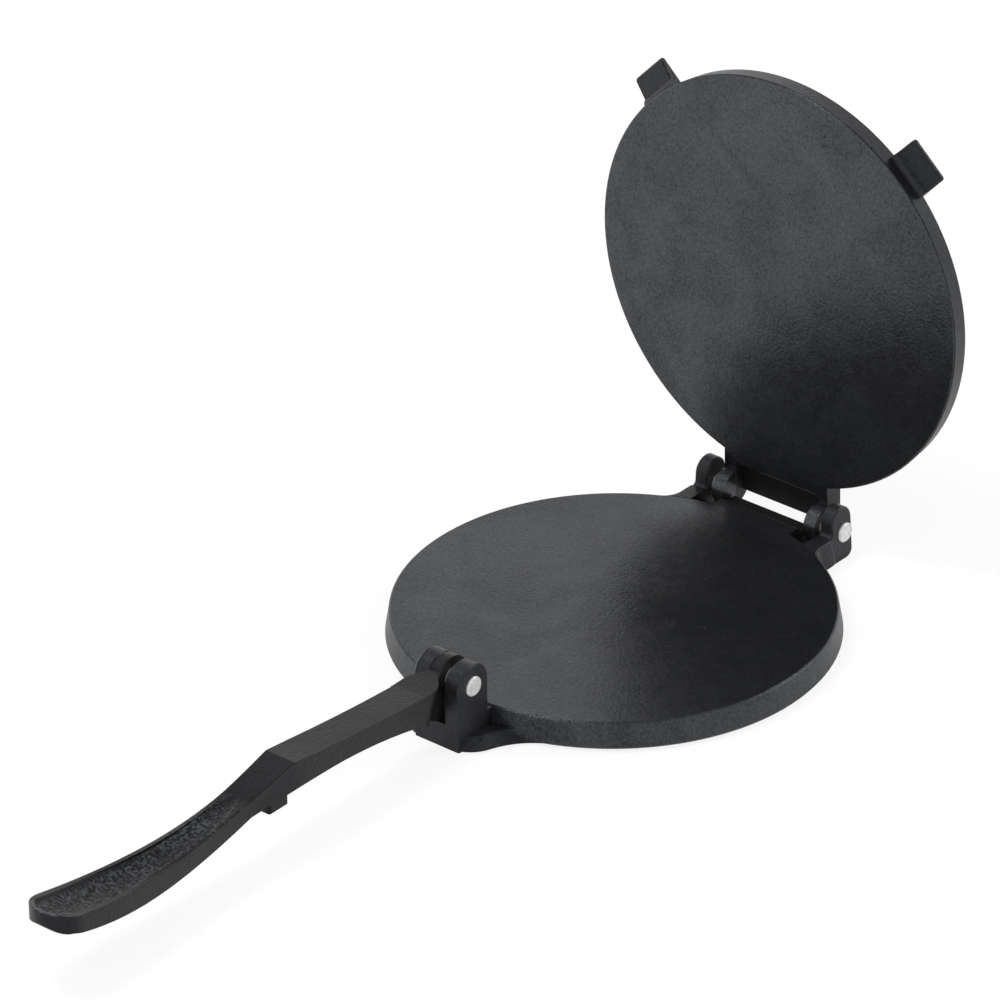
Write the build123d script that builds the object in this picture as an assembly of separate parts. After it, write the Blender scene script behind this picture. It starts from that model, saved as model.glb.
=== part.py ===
from build123d import *
import math
import os

# Hand press for flattening dough: three iron castings turning on steel pins.
# Millimetres. X runs along the hinge, +Y points to the hinge, +Z up.
# The origin is on the table, under the centre of the base disc.
# Rest pose: the upper plate stands open on its stop and the lever lies forward.

# ---- base disc
base_radius = 101.6
rim_height = 13.1
rim_flare = 2.2
foot_rise = 1.2
base_skin = 5.5
rim_wall = 7.0
edge_bevel = 0.7
lower_edge_bevel = 1.3

# ---- pockets and ribs, under the base and on the back of the plate
rib_count = 8
rib_width = 5.0
hub_radius = 17.0
hub_foot_radius = 15.0
boss_draft = 1.0
pocket_draft = 1.5
pocket_bevel = 2.0

# ---- hinge block, web and ears
hinge_overhang = 15.2
hinge_drop = 0.35
hinge_pin_radius = 4.75
ear_half_span = 40.7
ear_thickness = 7.5
ear_front_reach = 8.5
ear_back_reach = 5.6
ear_height_over_pin = 13.2
ear_lean = 0.055
ear_foot_blend = 2.0
ear_heel_round = 4.5
ear_root_depth = 10.0
ear_foot_depth = 4.0
ear_blank = 3.0
ear_edge_bevel = 0.7
block_overhang = 6.0
block_margin = 0.8
block_inner_round = 7.0
block_corner_round = 2.0
notch_ledge_height = 8.0
notch_margin = 1.2
web_drop = 3.1
web_overhang = 14.4
web_edge_round = 1.0
web_root = 6.0
pin_stub = 1.2

# ---- upper plate
plate_inset = 0.1
plate_thickness = 9.9
plate_draft = 1.2
plate_skin = 6.2
plate_setback = 1.4
plate_rim_wall = 7.0
closed_gap = 0.3
pad_radius = 19.0
pad_rise = 2.0
pad_draft = 1.5

# ---- lugs, neck and bridge of the upper plate
knuckle_radius = 8.8
lug_thickness = 6.5
lug_side_gap = 3.2
lug_root = 26.0
bore_end_wall = 1.5
lug_back_bulge = 3.0
neck_end = 12.9
bridge_thickness = 3.9
bridge_reach = 3.8
bridge_round = 1.2
toe_round = 1.0

# ---- lift tabs
tab_width = 22.2
tab_overhang = 13.0
tab_rise = 2.4
tab_tip_thickness = 2.2
tab_root_thickness = 6.9
tab_neck_reach = 2.5
tab_neck_depth = 4.6
tab_neck_hollow = 0.5
tab_inner_reach = 12.0
tab_half_spread = 44.5
tab_twist = 2.0
tab_corner_round = 1.5
tab_edge_bevel = 0.5

# ---- clevis at the front of the base
pivot_overhang = 12.0
pivot_height = 30.2
lever_pin_radius = 4.75
clevis_radius = 10.3
clevis_half_width = 12.9
clevis_slot = 9.4
clevis_edge_bevel = 0.7
sill_height = 12.2
wing_rise = 5.3
wing_width = 9.7
wing_bulge = 1.6
wing_hollow = 2.0
wing_join_angle = 21.5
wing_overlap = 3.0
wing_slope = 40.0

# ---- lever: tongue and arm
tongue_thickness = 5.0
side_play = 1.75
lever_knuckle_radius = 10.3
heel_overhang = 0.6
arm_half_width = 9.0
root_flare_start = 11.0
root_flare_end = 27.0
root_rake = 0.42
root_length = 30.0
root_drop = 26.0
root_rise = 20.0
root_level = 6.0
shoulder_distance = 27.4
shoulder_height = 5.6
belly_distance = 31.0
belly_drop = 8.0
belly_mid_distance = 56.0
belly_mid_drop = 3.2
arm_sag = 0.9
kink_distance = 113.4
kink_height = 13.4
kink_underside = 0.5
boss_start = 116.6
boss_length = 12.6
boss_half_width = 7.2
boss_drop = 6.6
boss_round = 1.5

# ---- lever: grip with its trough
lever_reach = 266.9
grip_start = 141.4
grip_start_height = 6.9
grip_start_drop = 1.2
grip_sag = 6.9
grip_belly = 7.7
grip_half_width = 13.3
waist_distance = 134.0
waist_half_width = 7.7
grip_mid_distance = 186.0
grip_mid_half_width = 9.6
tip_height = 11.2
tip_underside = 0.6
tip_round = 8.9
tip_bulge = 1.2
tip_edge_height = 4.5
lip_width = 2.4
trough_radius = 15.0
trough_depth = 3.6
lever_edge_bevel = 0.4

# ---- fits
turning_clearance = 0.08
held_clearance = 0.02
pin_end_gap = 0.4
pin_bevel = 0.6
stop_gap = 0.3

# ---- how far one piece of a casting sinks into the next, and how far a cut runs past it
overlap = 1.0
past_all = 40.0

# ---- worked out from the sizes above
lower_radius = base_radius + rim_flare
rim_angle = math.degrees(math.atan2(rim_flare, rim_height))
base_top = foot_rise + rim_height
hinge_y = base_radius + hinge_overhang
hinge_z = base_top - hinge_drop
block_back = base_radius + block_overhang
block_half = ear_half_span + block_margin
ear_inner = ear_half_span - ear_thickness
lug_outer = ear_inner - lug_side_gap
lug_inner = lug_outer - lug_thickness
notch_inner = lug_inner - notch_margin
stop_wall = hinge_y - knuckle_radius - stop_gap
web_top = base_top - web_drop
notch_start = 0.8 * base_radius
plate_radius = base_radius - plate_inset
plate_back_radius = plate_radius - plate_draft
press_plane = hinge_drop + closed_gap
plate_centre = -(hinge_y - plate_setback)
plate_back = press_plane + plate_thickness
pivot_y = -(base_radius + pivot_overhang)
waist_start = 0.84 * kink_distance
DOWN_TO_UP = (Align.CENTER, Align.CENTER, Align.MIN)


def side_solid(face, low, high):
    """A side view drawn in (y, z), carried along X from low to high."""
    return Pos(low, 0, 0) * extrude(Plane.YZ * face, high - low)


def block_between(low, high):
    """A box given by its low and high corners."""
    size = [b - a for a, b in zip(low, high)]
    middle = [(a + b) / 2 for a, b in zip(low, high)]
    return Pos(*middle) * Box(*size)


def both_sides(solid):
    return solid + mirror(solid, Plane.YZ)


def outline(*edges):
    return make_face(Curve() + list(edges))


def bow(start, end, bulge):
    """An arc from start to end that bulges to the right of its way."""
    first, last = Vector(*start), Vector(*end)
    along = (last - first).normalized()
    side = Vector(along.Y, -along.X)
    return ThreePointArc(start, (first + last) / 2 + side * bulge, end)


def quarter(start, centre, end):
    """An arc from start to end about its centre, a quarter turn or less."""
    middle = Vector(*centre)
    half_way = (Vector(*start) - middle + Vector(*end) - middle).normalized()
    radius = (Vector(*start) - middle).length
    return ThreePointArc(start, middle + half_way * radius, end)


def pin_hole(radius, y, z, low, high):
    return Pos((low + high) / 2, y, z) * Rot(Y=90) * Cylinder(radius, high - low)


def disc_of_profile(*points):
    """A round body turned about Z from its half section in (r, z)."""
    return revolve(Plane.XZ * make_face(Polyline(*points, close=True)), Axis.Z)


def ribbed_pocket(mouth, depth, boss):
    """A round hollow of the given depth, its mouth down, around ribs and a boss."""
    pocket = disc_of_profile((0, 0), (mouth, 0), (mouth - pocket_draft, depth), (0, depth))
    rib = block_between((0, -rib_width / 2, 0), (mouth + overlap, rib_width / 2, depth))
    pocket -= [Rot(Z=360 / rib_count * (k + 0.5)) * rib for k in range(rib_count)]
    pocket -= Cone(boss, boss + boss_draft, depth, align=DOWN_TO_UP)
    return chamfer(pocket.edges().group_by(Axis.Z)[-1], pocket_bevel)


# ---------------------------------------------------------------- base casting
def base_casting():
    """The disc with the hinge block behind it, flaring out to the foot."""
    root = base_radius / 2
    plan = Circle(lower_radius) + Pos(0, (root + block_back + rim_flare) / 2) * Rectangle(
        2 * (block_half + rim_flare), block_back + rim_flare - root
    )
    plan = fillet([v for v in plan.vertices() if root < v.Y < block_back], block_inner_round)
    plan = fillet(plan.vertices().group_by(Axis.Y)[-1], block_corner_round + rim_flare)
    body = extrude(plan, rim_height, taper=rim_angle)
    body = chamfer(body.edges().group_by(Axis.Z)[-1], edge_bevel)
    body = chamfer(body.edges().group_by(Axis.Z)[0], lower_edge_bevel)
    return Pos(0, 0, foot_rise) * body


def base_pocket():
    """The hollow under the disc, with its ribs and hub left standing."""
    mouth = base_radius - rim_wall + pocket_draft
    return Pos(0, 0, foot_rise) * ribbed_pocket(mouth, rim_height - base_skin, hub_radius)


def web_cut():
    """The whole middle of the block behind the disc, cleared for the web."""
    return block_between(
        (-notch_inner, block_back - web_drop, 0), (notch_inner, block_back + past_all, base_top + overlap)
    )


def web():
    """The middle of the block: rounded down to a low web between the two notches."""
    r = web_edge_round
    low = foot_rise
    front = block_back - web_drop
    root = front - web_root
    back = base_radius + web_overhang
    side = outline(
        Line((root, low), (back - r, low)),
        quarter((back - r, low), (back - r, low + r), (back, low + r)),
        Line((back, low + r), (back, web_top - r)),
        quarter((back, web_top - r), (back - r, web_top - r), (back - r, web_top)),
        Line((back - r, web_top), (block_back, web_top)),
        quarter((block_back, web_top), (front, web_top), (front, base_top)),
        Line((front, base_top), (root, base_top)),
        Line((root, base_top), (root, low)),
    )
    return side_solid(side, -notch_inner, notch_inner)


def lug_notch():
    """Room for one lug: open from above down to a ledge, and behind the stop wall."""
    disc = Pos(0, 0, foot_rise) * Cone(lower_radius, base_radius, rim_height, align=DOWN_TO_UP)
    far_corner = (ear_inner, hinge_y + past_all, base_top + overlap)
    above = block_between((notch_inner, notch_start, notch_ledge_height), far_corner)
    behind = block_between((notch_inner, stop_wall, -overlap), far_corner)
    return (above - disc) + behind


def hinge_ear():
    """One upright ear: a tombstone on a foot, leaning in a little as it rises."""
    front, back = hinge_y - ear_front_reach, hinge_y + ear_back_reach
    crown_radius = (back - front) / 2
    crown_z = hinge_z + ear_height_over_pin - crown_radius
    root = block_back - ear_root_depth
    foot_front = block_back - ear_foot_depth
    low = base_top - overlap
    blend, heel = ear_foot_blend, ear_heel_round
    side = outline(
        Line((root, low), (front - blend, low)),
        Line((front - blend, low), (front - blend, base_top)),
        quarter((front - blend, base_top), (front - blend, base_top + blend), (front, base_top + blend)),
        Line((front, base_top + blend), (front, crown_z)),
        ThreePointArc((front, crown_z), (front + crown_radius, crown_z + crown_radius), (back, crown_z)),
        Line((back, crown_z), (back, heel)),
        quarter((back, heel), (back - heel, heel), (back - heel, 0)),
        Line((back - heel, 0), (foot_front + foot_rise, 0)),
        Line((foot_front + foot_rise, 0), (foot_front, foot_rise)),
        Line((foot_front, foot_rise), (root, foot_rise)),
        Line((root, foot_rise), (root, low)),
    )
    ear = side_solid(side, ear_inner, ear_half_span + ear_blank)
    top = hinge_z + 2 * ear_height_over_pin
    low_x = ear_half_span + ear_lean * hinge_z
    high_x = ear_half_span - ear_lean * (top - hinge_z)
    leaning = make_face(Polyline((0, 0), (low_x, 0), (high_x, top), (0, top), close=True))
    ear &= Pos(0, hinge_y + past_all, 0) * extrude(Plane.XZ * leaning, 2 * past_all)
    bevelled = [e for e in ear.edges() if e.center().Y > front - overlap and e.center().Z > base_top + blend]
    bevelled = [e for e in bevelled if abs(e.tangent_at(0.5).X) < 0.5]
    return chamfer(bevelled, ear_edge_bevel)


def clevis():
    """Two ears on one foot, with a slot for the lever."""
    front = pivot_y - clevis_radius
    back = pivot_y + clevis_radius
    inside = -(base_radius - rim_wall)
    side = outline(
        Line((front, 0), (front, pivot_height)),
        ThreePointArc((front, pivot_height), (pivot_y, pivot_height + clevis_radius), (back, pivot_height)),
        Line((back, pivot_height), (back, base_top - edge_bevel)),
        Line((back, base_top - edge_bevel), (inside, base_top - edge_bevel)),
        Line((inside, base_top - edge_bevel), (inside, foot_rise)),
        Line((inside, foot_rise), (back + 2 * foot_rise, foot_rise)),
        Line((back + 2 * foot_rise, foot_rise), (back + foot_rise, 0)),
        Line((back + foot_rise, 0), (front, 0)),
    )
    body = side_solid(side, -clevis_half_width, clevis_half_width)
    body -= block_between(
        (-clevis_slot / 2, front - overlap, sill_height),
        (clevis_slot / 2, back + overlap, pivot_height + 2 * clevis_radius),
    )
    rims = [e for e in body.edges() if e.center().Z > base_top and abs(e.tangent_at(0.5).X) < 0.5]
    return chamfer(rims, clevis_edge_bevel)


def clevis_wings():
    """Sloped gussets that spread from the clevis foot to the rim."""
    half = clevis_half_width
    front = (half, pivot_y - clevis_radius)
    side = (half + wing_width, pivot_y)
    turn = math.radians(wing_join_angle)
    reach = lower_radius - lower_edge_bevel
    join = (reach * math.sin(turn), -reach * math.cos(turn))
    inside = (join[0], join[1] + wing_overlap)
    right = [
        bow(front, side, wing_bulge),
        bow(side, join, -wing_hollow),
        Line(join, inside),
    ]
    left = [mirror(edge, Plane.YZ) for edge in right]
    closing = [Line((-front[0], front[1]), front), Line((-inside[0], inside[1]), inside)]
    plan = outline(*right, *left, *closing)
    return Pos(0, 0, foot_rise) * extrude(plan, wing_rise, taper=wing_slope)


def base_plate():
    """The whole base casting, bored for the hinge pins and the lever pin."""
    body = base_casting() - web_cut() + web() + clevis_wings() + clevis()
    body -= base_pocket()
    body += Cone(hub_foot_radius, hub_radius, foot_rise + overlap, align=DOWN_TO_UP)
    body -= both_sides(lug_notch())
    body += both_sides(hinge_ear())
    hinge_bore = hinge_pin_radius + held_clearance
    lever_bore = lever_pin_radius + held_clearance
    body -= both_sides(pin_hole(hinge_bore, hinge_y, hinge_z, ear_inner - overlap, ear_inner + past_all))
    body -= pin_hole(lever_bore, pivot_y, pivot_height, -past_all, past_all)
    return body


# ---------------------------------------------------------------- upper casting
# Drawn closed, with the hinge axis as its origin, and swung open at the end.
def plate_disc():
    """The disc, hollow and ribbed on its back, with the pad that the lever presses."""
    disc = disc_of_profile(
        (0, press_plane), (plate_radius, press_plane), (plate_back_radius, plate_back), (0, plate_back)
    )
    disc = chamfer(disc.edges().group_by(Axis.Z)[-1] + disc.edges().group_by(Axis.Z)[0], edge_bevel)
    pocket = ribbed_pocket(plate_back_radius - plate_rim_wall, plate_thickness - plate_skin, pad_radius)
    disc -= Pos(0, 0, plate_back) * Rot(X=180) * pocket
    pad = Cone(pad_radius, pad_radius - pad_draft, pad_rise, align=DOWN_TO_UP)
    disc += Pos(0, 0, plate_back) * chamfer(pad.edges().group_by(Axis.Z)[-1], edge_bevel)
    return Pos(0, plate_centre, 0) * disc


def lift_tab():
    """A finger tab on the rim: a wedge that thins towards its tip, on a hollow neck."""
    reach = plate_radius + tab_overhang
    neck = plate_radius + tab_neck_reach
    inner = plate_radius - tab_inner_reach
    back = plate_back + tab_rise
    root = back - tab_root_thickness
    face = back - tab_neck_depth
    side = outline(
        Line((inner, back), (reach, back)),
        Line((reach, back), (reach, back - tab_tip_thickness)),
        Line((reach, back - tab_tip_thickness), (neck, face)),
        bow((neck, face), (plate_radius - overlap, root), -tab_neck_hollow),
        Line((plate_radius - overlap, root), (inner, root)),
        Line((inner, root), (inner, back)),
    )
    tab = side_solid(side, -tab_width / 2, tab_width / 2)
    corners = [e for e in tab.edges().filter_by(Axis.Z) if abs(e.center().Y - reach) < 0.01]
    tab = fillet(corners, tab_corner_round)
    rims = [e for e in tab.edges() if e.center().Y > neck + 0.5 and abs(e.tangent_at(0.5).Z) < 0.6]
    return chamfer(rims, tab_edge_bevel)


def hinge_lug():
    """An arm from the disc to a knuckle; a square toe under it is the stop."""
    r = knuckle_radius
    low = r * math.sqrt(0.5)
    side = outline(
        Line((-lug_root, press_plane), (-r, press_plane)),
        Line((-r, press_plane), (-r, 0)),
        ThreePointArc((-r, 0), (-low, -low), (0, -r)),
        quarter((0, -r), (0, 0), (low, -low)),
        Line((low, -low), (low, -r)),
        Line((low, -r), (r - toe_round, -r)),
        quarter((r - toe_round, -r), (r - toe_round, -r + toe_round), (r, -r + toe_round)),
        Line((r, -r + toe_round), (r, 0)),
        bow((r, 0), (0, plate_back), lug_back_bulge),
        Line((0, plate_back), (-lug_root, plate_back)),
        Line((-lug_root, plate_back), (-lug_root, press_plane)),
    )
    return side_solid(side, lug_inner, lug_outer)


def neck_and_bridge():
    """The neck between the disc and the lugs, and the thin bridge behind it."""
    neck = block_between((-lug_outer, -lug_root, press_plane), (lug_outer, -neck_end, plate_back))
    lower_edge = neck.edges().filter_by(Axis.X).group_by(Axis.Y)[-1].sort_by(Axis.Z)[0]
    neck = chamfer(lower_edge, edge_bevel)
    half = lug_inner + overlap
    floor = plate_back - bridge_thickness
    bridge = block_between((-half, -lug_root, floor), (half, bridge_reach, plate_back))
    bridge = fillet(bridge.edges().group_by(Axis.Y)[-1].filter_by(Axis.X), bridge_round)
    return neck + bridge


def upper_plate():
    """The whole upper casting with its two blind bores, swung open on the hinge."""
    body = plate_disc() + neck_and_bridge() + both_sides(hinge_lug())
    for angle in (tab_half_spread - tab_twist, -tab_half_spread - tab_twist):
        body += Pos(0, plate_centre, 0) * Rot(Z=180 + angle) * lift_tab()
    bore = hinge_pin_radius + turning_clearance
    body -= both_sides(pin_hole(bore, 0, 0, lug_inner + bore_end_wall, lug_outer + overlap))
    return Pos(0, hinge_y, hinge_z) * Rot(X=-90) * body


# ---------------------------------------------------------------- lever
# Drawn with the pivot as its origin, lying forward along -Y.
def lever_side():
    """Side view: knuckle and heel, arm rising to the kink, and the dished grip."""
    r = lever_knuckle_radius
    near, far = 0.6 * r, 0.8 * r
    heel = sill_height + stop_gap - pivot_height
    heel_y = -r - heel_overhang
    belly = (-belly_distance, -belly_drop)
    kink_under = (-boss_start, -kink_underside)
    grip_under = (-grip_start, -grip_start_drop)
    tip_under = (tip_round - lever_reach, tip_underside)
    tip_edge = (-lever_reach, tip_edge_height)
    return outline(
        ThreePointArc((-far, near), (r, 0), (-near, -far)),
        Line((-near, -far), (-near, heel)),
        Line((-near, heel), (heel_y, heel)),
        Line((heel_y, heel), belly),
        Spline(belly, (-belly_mid_distance, -belly_mid_drop), kink_under),
        Line(kink_under, grip_under),
        bow(grip_under, tip_under, -grip_belly),
        bow(tip_under, tip_edge, -tip_bulge),
        Line(tip_edge, (-lever_reach, tip_height)),
        bow((-lever_reach, tip_height), (-grip_start, grip_start_height), grip_sag),
        Line((-grip_start, grip_start_height), (-kink_distance, kink_height)),
        bow((-kink_distance, kink_height), (-shoulder_distance, shoulder_height), arm_sag),
        Line((-shoulder_distance, shoulder_height), (-far, near)),
    )


def lever_plan(inset=0.0):
    """The arm, its waist, and the grip that swells to a round end."""
    end = lever_reach - inset
    wide = grip_half_width - inset
    arm = arm_half_width - inset
    waist = waist_half_width - inset
    side = [
        Line((arm, -root_length), (arm, -waist_start)),
        Spline(
            (arm, -waist_start),
            (waist, -waist_distance),
            (grip_mid_half_width - inset, -grip_mid_distance),
            (wide, wide - end),
            tangents=((0, -1), (0, -1)),
        ),
    ]
    sides = side + [mirror(edge, Plane.YZ) for edge in side]
    tip = ThreePointArc((wide, wide - end), (0, -end), (-wide, wide - end))
    return outline(*sides, tip, Line((-arm, -root_length), (arm, -root_length)))


def lever_root():
    """The thin tongue and its flare to the arm, raked back as it drops."""
    right = tongue_thickness / 2 - side_play
    left = -tongue_thickness / 2 - side_play
    arm = arm_half_width
    back = 2 * lever_knuckle_radius
    end = root_length + 2 * root_rake * past_all
    plan = outline(
        Line((left, back), (right, back)),
        Line((right, back), (right, -root_flare_start)),
        Spline((right, -root_flare_start), (arm, -root_flare_end), tangents=((0, -1), (0, -1))),
        Line((arm, -root_flare_end), (arm, -end)),
        Line((arm, -end), (-arm, -end)),
        Line((-arm, -end), (-arm, -root_flare_end)),
        Spline((-arm, -root_flare_end), (left, -root_flare_start), tangents=((0, 1), (0, 1))),
        Line((left, -root_flare_start), (left, back)),
    )
    rake = Vector(0, root_rake, 1)
    foot = Pos(0, -root_rake * (root_drop - root_level), -root_drop)
    return extrude(foot * plan, (root_drop + root_rise) * rake.length, dir=rake)


def kink_boss():
    """The short square boss under the kink."""
    half = boss_half_width
    boss = block_between((-half, -boss_start - boss_length, -boss_drop), (half, -boss_start, kink_height / 3))
    boss = fillet(boss.edges().filter_by(Axis.Z), boss_round)
    return chamfer(boss.edges().group_by(Axis.Z)[0], edge_bevel)


def trough():
    """The dished hollow of the grip: a round bar bent along the floor, inside the lip."""
    middle = (grip_start + lever_reach) / 2
    low = (grip_start_height + tip_height) / 2 - grip_sag - trough_depth
    floor = ThreePointArc(
        (0, -grip_start, grip_start_height), (0, -middle, low), (0, -lever_reach, tip_height - trough_depth)
    )
    across = Plane(origin=floor @ 0, x_dir=(1, 0, 0), z_dir=floor % 0)
    bar = sweep(across * Pos(0, trough_radius) * Circle(trough_radius), path=floor)
    return bar & Pos(0, 0, -past_all) * extrude(lever_plan(lip_width), 2 * past_all)


def lever():
    """The arm and grip with bevelled upper edges, joined to the tongue, and the trough cut."""
    whole = side_solid(lever_side(), -past_all, past_all)
    grip = whole & Pos(0, 0, -past_all) * extrude(lever_plan(), 2 * past_all)
    top_edges = [e for e in grip.edges() if e.center().Z > 1 and abs(e.tangent_at(0.5).X) < 0.9]
    top_edges = [e for e in top_edges if abs(e.tangent_at(0.5).Z) < 0.9]
    grip = chamfer(top_edges, lever_edge_bevel)
    behind = block_between((-past_all, -root_length, -past_all), (past_all, past_all, past_all))
    body = (whole & lever_root() & behind) + grip - trough() + kink_boss()
    body -= pin_hole(lever_pin_radius + turning_clearance, 0, 0, -past_all, past_all)
    return Pos(0, pivot_y, pivot_height) * body


# ---------------------------------------------------------------- pins
def pin(radius, low, high, y, z):
    body = pin_hole(radius, y, z, low, high)
    return chamfer(body.edges().filter_by(GeomType.CIRCLE), pin_bevel)


def hinge_pin():
    inner = lug_inner + bore_end_wall + pin_end_gap
    return pin(hinge_pin_radius, inner, ear_half_span + pin_stub, hinge_y, hinge_z)


def lever_pin():
    end = clevis_half_width + pin_stub
    return pin(lever_pin_radius, -end, end, pivot_y, pivot_height)


parts = {
    "base_plate": base_plate(),
    "upper_plate": upper_plate(),
    "lever": lever(),
    "hinge_pin_right": hinge_pin(),
    "hinge_pin_left": mirror(hinge_pin(), Plane.YZ),
    "lever_pin": lever_pin(),
}

os.makedirs("parts", exist_ok=True)
for name, shape in parts.items():
    export_step(shape, "parts/" + name + ".step")
    print(name, round(shape.volume), shape.is_valid)
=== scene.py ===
"""Looks of the cast-iron hand press: black iron, steel pins, white studio."""

import math

import bpy
from mathutils import Matrix, Vector

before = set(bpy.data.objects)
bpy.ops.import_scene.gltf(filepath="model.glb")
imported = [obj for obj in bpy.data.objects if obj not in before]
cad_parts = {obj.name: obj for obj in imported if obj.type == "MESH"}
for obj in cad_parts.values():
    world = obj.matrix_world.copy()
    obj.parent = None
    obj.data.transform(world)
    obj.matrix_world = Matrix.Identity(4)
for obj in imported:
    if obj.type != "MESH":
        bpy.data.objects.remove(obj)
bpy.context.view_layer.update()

MM = 0.001

# ---- camera: direction of view, roll, distance to the aim point, and lens
VIEW_AZIMUTH = 40.42
VIEW_ELEVATION = 30.01
VIEW_ROLL = -0.85
VIEW_DISTANCE = 3.8157
AIM = Vector((-0.11561, 0.05748, 0.0012))
SENSOR = 36.0
FRAME_PIXELS = 1000
FOCAL_PIXELS = 8212.0
FARTHEST_SEEN = 50.0

# ---- places on the press that the materials need, in metres
DISC_RADIUS = 101.6 * MM
BASE_TOP = 14.3 * MM
RIM_FOOT_RADIUS = 103.8 * MM
BLOCK_START = 92.0 * MM
PLATE_FACE = 117.45 * MM
TROUGH_START = -275.0 * MM

# ---- where one finish gives way to the next, from start to end
DISC_EDGE = (DISC_RADIUS - 0.2 * MM, DISC_RADIUS + 0.4 * MM)
TOP_EDGE = (BASE_TOP - 0.3 * MM, BASE_TOP - 0.1 * MM)
RIM_EDGE = (RIM_FOOT_RADIUS + 0.2 * MM, RIM_FOOT_RADIUS + 0.9 * MM)
BLOCK_EDGE = (BLOCK_START, BLOCK_START + 4 * MM)
FACE_EDGE = (PLATE_FACE + 0.1 * MM, PLATE_FACE + 0.4 * MM)
TROUGH_SIDE = (6.5 * MM, 9.5 * MM)
TROUGH_END = (TROUGH_START, TROUGH_START + 20 * MM)
FACING_UP = (0.3, 0.7)

# ---- noise scales, from the broadest marks to the finest
CLOUD_SCALE = 16.0
SMEAR_SCALE = 28.0
PIT_PATCH_SCALE = 60.0
BLOTCH_SCALE = 150.0
PIT_SCALE = 260.0
STEEL_SMEAR_SCALE = 420.0
SAND_SCALE = 620.0
FINE_SCALE = 1100.0
STEEL_MARK_SCALE = 1400.0

# ---- iron: colours are linear
BASE_IOR = 1.74
PLATE_IOR = 1.86
LEVER_IOR = 1.42
GROUND_TINT = (0.86, 0.92, 1.0)
CAST_TINT = (0.27, 0.29, 0.32)
# painted shade: how much the reflection dims in the grain's hollows
CAVITY_SHADE_TINT = 0.42
SMEAR_TINT = 0.22
NO_TINT = (0.0, 0.0, 0.0)
OIL_DARK = (0.0010, 0.0010, 0.0011)
OIL_LIGHT = (0.0025, 0.0025, 0.0027)
CAST_DARK = (0.0075, 0.0078, 0.0086)
CAST_LIGHT = (0.0150, 0.0156, 0.0172)
GRAIN_COLOUR = (0.007, 0.007, 0.0074)
# edges: paler partly from wear, partly as a painted highlight
WORN_AND_HIGHLIGHT_COLOUR = (0.03, 0.03, 0.031)
# the trough floor: paler coarse casting and partly a painted sheen
COARSE_AND_SHEEN_COLOUR = (0.060, 0.062, 0.066)
# painted shade: the near-black colour of the pits
PIT_SHADE_COLOUR = (0.002, 0.002, 0.002)
CAST_ROUGH = 0.38
GROUND_ROUGH = 0.25
COARSE_ROUGH_CHANGE = -0.04
CAST_GRAIN = 1.6
GROUND_GRAIN = 0.7
COARSE_GRAIN = 9.0
IRON_BUMP = 0.16 * MM

# ---- steel
STEEL_DARK = (0.66, 0.66, 0.66)
STEEL_LIGHT = (0.86, 0.86, 0.85)
STEEL_METALLIC = 0.35
STEEL_ROUGH = (0.36, 0.5)
STEEL_BUMP = 0.15 * MM
STEEL_BUMP_STRENGTH = 0.5

# ---- studio: brightness of 1 is white
WHITE = (1.0, 1.0, 1.0)
PAPER = (0.92, 0.92, 0.92)
FLOOR_HALF = 6.0
FLOOR_GLOW = 1.06
FLOOR_SEEN = 0.8
FLOOR_MIRRORED = 0.3
CEILING_START = 0.50
CEILING_END = 0.75
CEILING_LEVEL = 0.4
LIGHT_TARGET = Vector((0, 0, 0.05))


# ---------------------------------------------------------------- node helpers
def opaque(colour):
    """A colour with full alpha. A socket is passed on as it is."""
    return (*colour, 1.0) if isinstance(colour, tuple) else colour


class Nodes:
    """A short way to write a node tree."""

    def __init__(self, tree):
        self.tree = tree
        tree.nodes.clear()

    def put(self, node, socket, value):
        target = node.inputs[socket]
        if isinstance(value, bpy.types.NodeSocket):
            self.tree.links.new(value, target)
        else:
            target.default_value = value

    def add(self, kind, **inputs):
        """A node whose inputs are named with an underscore for each space."""
        node = self.tree.nodes.new(kind)
        for name, value in inputs.items():
            self.put(node, name.replace("_", " "), value)
        return node

    def output(self, kind, surface):
        self.add(kind, Surface=surface.outputs[0])

    def math(self, operation, a, b=0.0, clamp=False):
        node = self.tree.nodes.new("ShaderNodeMath")
        node.operation = operation
        node.use_clamp = clamp
        self.put(node, 0, a)
        self.put(node, 1, b)
        return node.outputs[0]

    def times(self, a, b):
        return self.math("MULTIPLY", a, b)

    def plus(self, a, b):
        return self.math("ADD", a, b)

    def noise(self, where, scale, detail=3.0, rough=0.55, distortion=0.0):
        node = self.add("ShaderNodeTexNoise", Vector=where, Scale=scale, Detail=detail)
        self.put(node, "Roughness", rough)
        self.put(node, "Distortion", distortion)
        return node.outputs["Fac"]

    def cells(self, where, scale):
        """The distance to the middle of the nearest of many scattered cells."""
        node = self.add("ShaderNodeTexVoronoi", Vector=where, Scale=scale)
        return node.outputs["Distance"]

    def span(self, value, low, high, to_low=0.0, to_high=1.0):
        """A number that runs from to_low to to_high as the value runs from low to high."""
        node = self.tree.nodes.new("ShaderNodeMapRange")
        for index, number in enumerate((value, low, high, to_low, to_high)):
            self.put(node, index, number)
        return node.outputs[0]

    def fade(self, value, edge):
        """One before the edge, zero after it."""
        return self.span(value, *edge, 1.0, 0.0)

    def blend(self, factor, a, b):
        """A number that runs from a to b with the factor."""
        return self.span(factor, 0.0, 1.0, a, b)

    def mix(self, factor, a, b):
        """A colour that runs from a to b with the factor."""
        node = self.tree.nodes.new("ShaderNodeMix")
        node.data_type = "RGBA"
        self.put(node, 0, factor)
        self.put(node, 6, opaque(a))
        self.put(node, 7, opaque(b))
        return node.outputs[2]

    def split(self, vector):
        node = self.add("ShaderNodeSeparateXYZ", Vector=vector)
        return node.outputs[0], node.outputs[1], node.outputs[2]


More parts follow.
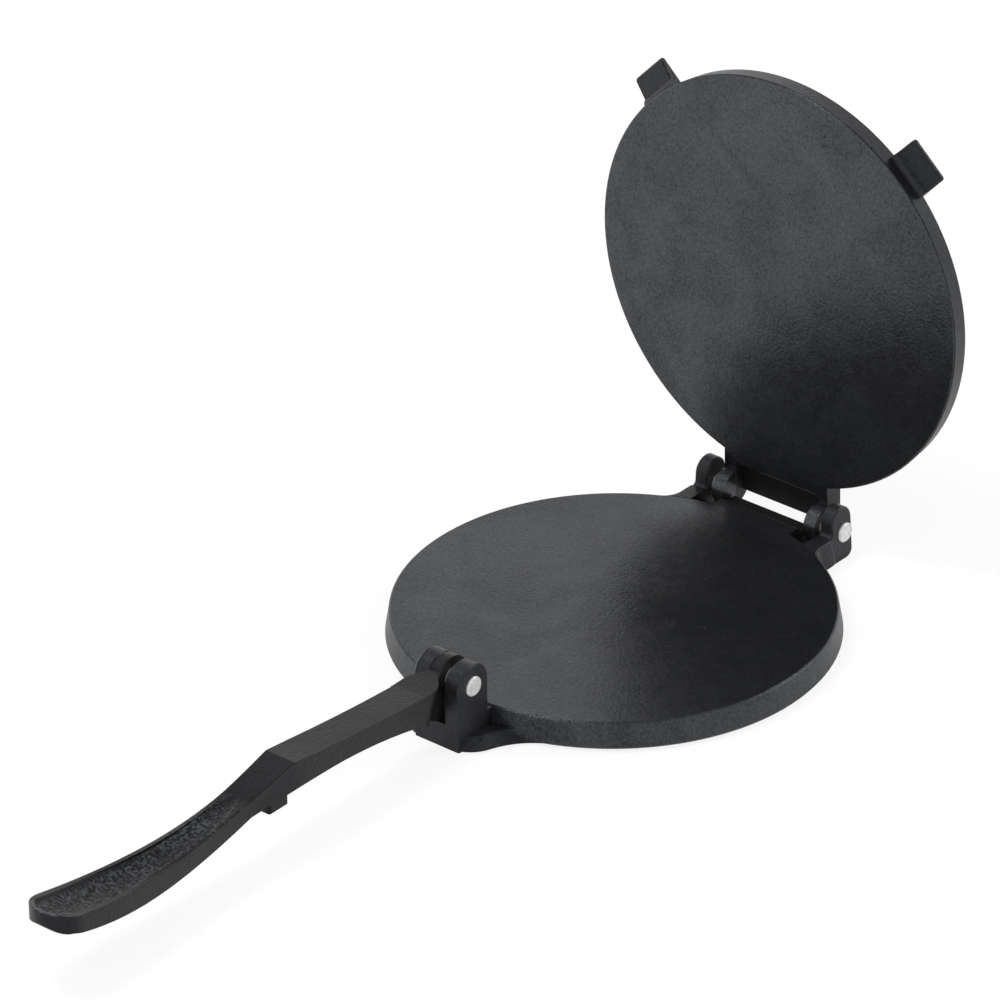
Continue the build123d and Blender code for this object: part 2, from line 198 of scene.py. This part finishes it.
def new_material(name):
    material = bpy.data.materials.new(name)
    material.use_nodes = True
    return material, Nodes(material.node_tree)


# ---------------------------------------------------------------- masks
def disc_distance(n, x, y):
    """The distance from the base disc's axis."""
    return n.math("SQRT", n.plus(n.times(x, x), n.times(y, y)))


def base_ground(n, where):
    """One on the ground pressing face of the base, zero on its rim, block and clevis."""
    x, y, z = n.split(where)
    inside = n.fade(disc_distance(n, x, y), DISC_EDGE)
    return n.times(inside, n.span(z, *TOP_EDGE))


def base_turned(n, where):
    """One on the round disc, its rim as well, zero on the hinge block, clevis and wings."""
    x, y = n.split(where)[:2]
    inside = n.fade(disc_distance(n, x, y), RIM_EDGE)
    return n.times(inside, n.fade(y, BLOCK_EDGE))


def plate_ground(n, where):
    """One on the ground pressing face of the upper plate."""
    return n.fade(n.split(where)[1], FACE_EDGE)


def trough_floor(n, where):
    """One on the coarse, upward-facing floor of the grip's trough, which the colour also makes
    paler as a painted sheen.
    """
    x, y = n.split(where)[:2]
    across = n.fade(n.math("ABSOLUTE", x), TROUGH_SIDE)
    along = n.fade(y, TROUGH_END)
    normal = n.add("ShaderNodeNewGeometry").outputs["Normal"]
    upward = n.span(n.split(normal)[2], *FACING_UP)
    return n.times(n.times(across, along), upward)


# ---------------------------------------------------------------- iron
class Grain:
    """The noises that the colour, roughness, tint and bump of the iron share."""

    def __init__(self, n, where):
        self.cloud = n.noise(where, CLOUD_SCALE, 4.0, 0.6)
        self.smear = n.noise(where, SMEAR_SCALE, 3.0, 0.6, 0.8)
        self.blotch = n.noise(where, BLOTCH_SCALE, 3.0, 0.55)
        self.sand = n.noise(where, SAND_SCALE, 1.0, 0.5)
        self.fine = n.noise(where, FINE_SCALE, 0.0, 0.5)
        holes = n.span(n.cells(where, PIT_SCALE), 0.04, 0.16, 1.0, 0.0)
        patches = n.span(n.noise(where, PIT_PATCH_SCALE, 2.0, 0.5), 0.46, 0.58)
        self.pits = n.times(holes, patches)


def iron_colour(n, grain, bright_mask, coarse_and_sheen_mask):
    """Patchy oil or bare casting, with pale sand grains, edges made paler by wear and by a painted
    highlight, a trough floor made paler by its coarse casting and a painted sheen, and pits
    darkened with painted shade.
    """
    patchy = n.span(grain.cloud, 0.35, 0.65)
    oiled = n.mix(patchy, OIL_DARK, OIL_LIGHT)
    colour = n.mix(bright_mask, n.mix(patchy, CAST_DARK, CAST_LIGHT), oiled)
    colour = n.mix(n.times(n.span(grain.sand, 0.50, 0.75), 0.5), colour, GRAIN_COLOUR)
    # Edges are lightened, partly as wear and partly as a painted highlight along them.
    worn_and_highlit = n.span(n.add("ShaderNodeNewGeometry").outputs["Pointiness"], 0.52, 0.60)
    colour = n.mix(n.times(worn_and_highlit, 0.5), colour, WORN_AND_HIGHLIGHT_COLOUR)
    # The trough's floor is paler, partly as coarse casting and partly as a painted sheen.
    mottle = n.times(n.span(grain.sand, 0.42, 0.60), n.span(grain.blotch, 0.38, 0.58, 0.35, 1.0))
    colour = n.mix(n.times(coarse_and_sheen_mask, mottle), colour, COARSE_AND_SHEEN_COLOUR)
    # The pits get a near-black painted shade.
    return n.mix(grain.pits, colour, PIT_SHADE_COLOUR)


def iron_roughness(n, grain, ground_mask, coarse_and_sheen_mask):
    """Matt on the casting, smoother where it is ground, uneven everywhere."""
    cast = n.span(grain.cloud, 0.3, 0.7, CAST_ROUGH - 0.03, CAST_ROUGH + 0.04)
    smooth = n.span(grain.cloud, 0.3, 0.7, GROUND_ROUGH - 0.02, GROUND_ROUGH + 0.03)
    rough = n.plus(n.blend(ground_mask, cast, smooth), n.span(grain.blotch, 0.3, 0.7, -0.02, 0.03))
    return n.plus(rough, n.times(coarse_and_sheen_mask, COARSE_ROUGH_CHANGE))


def iron_tint(n, grain, bright_mask):
    """How much the surface mirrors: dimmed by painted shade in the grain's hollows and pits, and
    less in oil smears.
    """
    tint = n.mix(bright_mask, CAST_TINT, GROUND_TINT)
    speck = n.plus(n.times(grain.sand, 0.5), n.times(grain.fine, 0.5))
    # Painted shade: the reflection dims in the grain's hollows and fully in the pits.
    cavity_shade = n.times(n.span(speck, 0.60, 0.38), n.span(grain.blotch, 0.3, 0.7, 1.0, 0.6))
    cavity_shade = n.math("MAXIMUM", n.times(cavity_shade, CAVITY_SHADE_TINT), grain.pits)
    smear = n.span(grain.smear, 0.62, 0.40, 0.0, SMEAR_TINT)
    return n.mix(n.math("ADD", cavity_shade, smear, clamp=True), tint, NO_TINT)


def iron_bump(n, grain, ground_mask, coarse_and_sheen_mask):
    """Sand grain, strongest in the trough and weakest on the ground faces."""
    strength = n.blend(ground_mask, CAST_GRAIN, GROUND_GRAIN)
    strength = n.blend(coarse_and_sheen_mask, strength, COARSE_GRAIN)
    height = n.plus(n.times(grain.blotch, 0.5), n.times(grain.sand, 0.55))
    height = n.plus(height, n.times(grain.fine, 0.3))
    height = n.math("SUBTRACT", n.times(height, strength), n.times(grain.pits, 0.5))
    return n.add("ShaderNodeBump", Height=height, Strength=1.0, Distance=IRON_BUMP)


def iron_material(name, ior, ground=None, turned=None, coarse=None):
    """Seasoned cast iron: sand grain, small pits and an uneven dark oil film."""
    material, n = new_material(name)
    where = n.add("ShaderNodeTexCoord").outputs["Object"]
    ground_mask = ground(n, where) if ground else 0.0
    coarse_and_sheen_mask = coarse(n, where) if coarse else 0.0
    bright_mask = turned(n, where) if turned else n.math("MAXIMUM", ground_mask, coarse_and_sheen_mask)
    grain = Grain(n, where)
    shader = n.add(
        "ShaderNodeBsdfPrincipled",
        Base_Color=iron_colour(n, grain, bright_mask, coarse_and_sheen_mask),
        Roughness=iron_roughness(n, grain, ground_mask, coarse_and_sheen_mask),
        IOR=ior,
        Specular_Tint=iron_tint(n, grain, bright_mask),
        Normal=iron_bump(n, grain, ground_mask, coarse_and_sheen_mask).outputs["Normal"],
    )
    n.output("ShaderNodeOutputMaterial", shader)
    return material


# ---------------------------------------------------------------- steel
def steel_material(name):
    """Bright steel: a cut, lightly hammered pin end."""
    material, n = new_material(name)
    where = n.add("ShaderNodeTexCoord").outputs["Object"]
    smear = n.noise(where, STEEL_SMEAR_SCALE, 3.0, 0.6, 0.4)
    marks = n.noise(where, STEEL_MARK_SCALE, 2.0, 0.5)
    height = n.plus(smear, marks)
    bump = n.add("ShaderNodeBump", Height=height, Strength=STEEL_BUMP_STRENGTH, Distance=STEEL_BUMP)
    shader = n.add(
        "ShaderNodeBsdfPrincipled",
        Base_Color=n.mix(n.span(smear, 0.35, 0.65), STEEL_DARK, STEEL_LIGHT),
        Metallic=STEEL_METALLIC,
        Roughness=n.span(marks, 0.3, 0.7, *STEEL_ROUGH),
        Normal=bump.outputs["Normal"],
    )
    n.output("ShaderNodeOutputMaterial", shader)
    return material


def dress(node, material):
    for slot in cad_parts[node].material_slots:
        slot.material = material


# ---------------------------------------------------------------- studio
def floor_material():
    """White paper that also glows for the camera, mirrors and glass."""
    material, n = new_material("floor_white")
    paths = n.add("ShaderNodeLightPath").outputs
    seen = n.times(paths["Is Camera Ray"], FLOOR_SEEN)
    mirrored = n.times(paths["Is Glossy Ray"], FLOOR_MIRRORED)
    through_glass = n.times(paths["Is Transmission Ray"], FLOOR_MIRRORED)
    glowing = n.math("MAXIMUM", n.math("MAXIMUM", seen, mirrored), through_glass)
    paper = n.add("ShaderNodeBsdfDiffuse", Color=opaque(PAPER))
    glow = n.add("ShaderNodeEmission", Color=opaque(WHITE), Strength=FLOOR_GLOW)
    mixed = n.add("ShaderNodeMixShader")
    for index, value in enumerate((glowing, paper.outputs[0], glow.outputs[0])):
        n.put(mixed, index, value)
    n.output("ShaderNodeOutputMaterial", mixed)
    return material


def make_floor():
    """A white floor that keeps the press's shadow."""
    half = FLOOR_HALF
    mesh = bpy.data.meshes.new("floor")
    corners = [(-half, -half, 0), (half, -half, 0), (half, half, 0), (-half, half, 0)]
    mesh.from_pydata(corners, [], [(0, 1, 2, 3)])
    floor = bpy.data.objects.new("floor", mesh)
    bpy.context.scene.collection.objects.link(floor)
    mesh.materials.append(floor_material())


def make_world():
    """White walls under a greyer ceiling."""
    world = bpy.data.worlds.new("studio")
    bpy.context.scene.world = world
    world.use_nodes = True
    n = Nodes(world.node_tree)
    height = n.split(n.add("ShaderNodeTexCoord").outputs["Generated"])[2]
    level = n.span(height, CEILING_START, CEILING_END, 1.0, CEILING_LEVEL)
    background = n.add("ShaderNodeBackground", Color=opaque(WHITE), Strength=level)
    n.output("ShaderNodeOutputWorld", background)


def make_light(name, place, size, watts):
    """A round soft box that faces the press."""
    data = bpy.data.lights.new(name, "AREA")
    data.shape = "DISK"
    data.size = size
    data.energy = watts
    lamp = bpy.data.objects.new(name, data)
    lamp.location = place
    lamp.rotation_euler = (LIGHT_TARGET - Vector(place)).to_track_quat("-Z", "Y").to_euler()
    bpy.context.scene.collection.objects.link(lamp)


def make_camera():
    """A long lens that looks down at the press from the front right."""
    azimuth = math.radians(VIEW_AZIMUTH)
    elevation = math.radians(VIEW_ELEVATION)
    roll = math.radians(VIEW_ROLL)
    ahead = math.cos(elevation)
    forward = Vector((-math.sin(azimuth) * ahead, math.cos(azimuth) * ahead, -math.sin(elevation)))
    level_right = forward.cross(Vector((0, 0, 1))).normalized()
    level_up = level_right.cross(forward)
    right = level_right * math.cos(roll) + level_up * math.sin(roll)
    up = level_up * math.cos(roll) - level_right * math.sin(roll)
    data = bpy.data.cameras.new("camera")
    data.sensor_width = SENSOR
    data.lens = FOCAL_PIXELS * SENSOR / FRAME_PIXELS
    data.clip_end = FARTHEST_SEEN
    camera = bpy.data.objects.new("camera", data)
    turn = Matrix((right, up, -forward)).transposed().to_4x4()
    camera.matrix_world = Matrix.Translation(AIM - forward * VIEW_DISTANCE) @ turn
    bpy.context.scene.collection.objects.link(camera)
    bpy.context.scene.camera = camera


steel = steel_material("bright_steel")
dress("base_plate", iron_material("base_iron", BASE_IOR, ground=base_ground, turned=base_turned))
dress("upper_plate", iron_material("plate_iron", PLATE_IOR, ground=plate_ground))
dress("lever", iron_material("lever_iron", LEVER_IOR, coarse=trough_floor))
for node in ("hinge_pin_right", "hinge_pin_left", "lever_pin"):
    dress(node, steel)

make_floor()
make_world()
make_light("top_box", place=(-0.65, -0.78, 2.4), size=0.8, watts=20.0)
make_light("back_box", place=(1.3, 1.7, 1.45), size=0.7, watts=10.0)
make_camera()
bpy.context.scene.view_settings.view_transform = "Standard"
